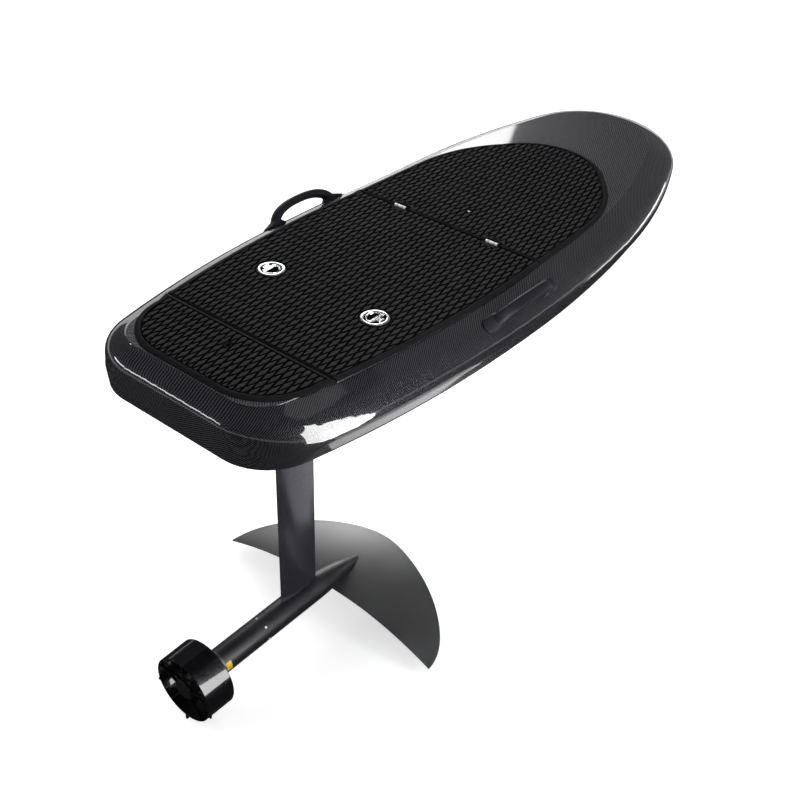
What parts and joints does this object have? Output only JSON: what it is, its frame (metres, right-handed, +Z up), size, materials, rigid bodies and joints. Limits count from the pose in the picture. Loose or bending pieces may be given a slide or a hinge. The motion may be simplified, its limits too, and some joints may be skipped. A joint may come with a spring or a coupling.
{
  "type": "electric hydrofoil surfboard",
  "caption": "Decked carbon board with a hinged battery hatch, carry handles, a straight mast, a curved front wing and a ducted electric propeller pod.",
  "frame": {"origin": "on the mast's centre axis, at the waterplane of the board when it floats", "axes": "+X towards the nose, +Y to port, +Z up"},
  "size_m": [1.7572, 0.712, 0.9925],
  "materials": {
    "carbon": "gloss",
    "deck_foam": "matte",
    "black_plastic": "matte",
    "battery_case": "matte",
    "seal_rubber": "matte",
    "steel": "polished",
    "handle_rubber": "satin",
    "mast_coat": "satin",
    "wing_coat": "satin",
    "foil_coat": "satin",
    "duct_gloss": "gloss",
    "prop_plastic": "satin"
  },
  "bodies": {
    "board": {"hull": "carbon", "rear_pad": "deck_foam", "front_pad": "deck_foam", "leash_plug": "black_plastic", "deck_screw": "steel", "battery": "battery_case", "hatch_seal": "seal_rubber", "hinge_fixed_port": "steel", "hinge_fixed_starboard": "steel", "hinge_pin_port": "steel", "hinge_pin_starboard": "steel", "handle_port": "handle_rubber", "handle_starboard": "handle_rubber", "mast_plate": "mast_coat", "mast_bolts": "steel", "mast": "mast_coat", "front_wing": "wing_coat", "fuselage": "foil_coat", "motor_pod": "foil_coat", "duct_ring": "duct_gloss", "duct_collar": "duct_gloss", "duct_spider": "duct_gloss", "duct_fin": "duct_gloss", "duct_tabs": "duct_gloss"},
    "hatch": {"hatch_lid": "carbon", "hatch_pad": "deck_foam", "latch_bezel_port": "steel", "latch_bezel_starboard": "steel", "latch_ring_port": "steel", "latch_ring_starboard": "steel", "hinge_leaf_port": "steel", "hinge_leaf_starboard": "steel"},
    "propeller": {"propeller": "prop_plastic", "prop_shaft": "steel"}
  },
  "joints": [
    {"name": "hatch_hinge", "type": "hinge", "parent": "board", "child": "hatch", "pos_m": [0.5267, 0, 0.095], "axis": [0, 1, 0], "range_deg": [0, 100]},
    {"name": "prop_spin", "type": "hinge", "parent": "board", "child": "propeller", "pos_m": [-0.341, 0, -0.755], "axis": [1, 0, 0], "continuous": true}
  ]
}
